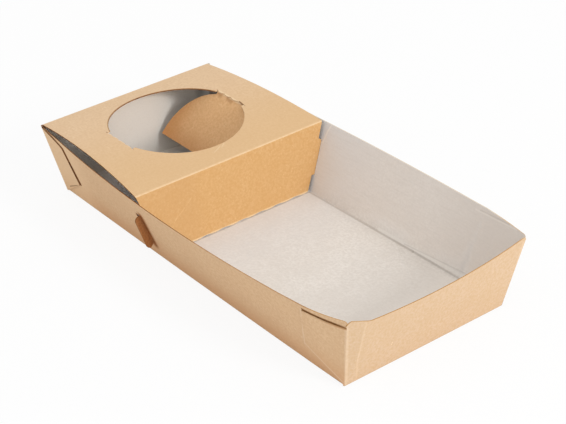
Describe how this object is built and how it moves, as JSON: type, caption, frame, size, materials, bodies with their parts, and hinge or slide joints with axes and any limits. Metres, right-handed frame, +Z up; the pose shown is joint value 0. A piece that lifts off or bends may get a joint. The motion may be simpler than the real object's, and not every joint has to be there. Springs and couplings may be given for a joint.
{
  "type": "takeaway tray with cup holder",
  "caption": "Folded kraft board takeaway tray with an open food compartment and a raised deck that holds a cup in a round hole.",
  "frame": {"origin": "middle of the bounding box, on the table under the floor", "axes": "+X from the cup end to the food end, +Y across the tray, +Z up"},
  "size_m": [0.2868, 0.1412, 0.0453],
  "materials": {
    "board": "matt kraft outside, greyish white inside"
  },
  "bodies": {
    "root": {"tray": "board"}
  },
  "joints": []
}
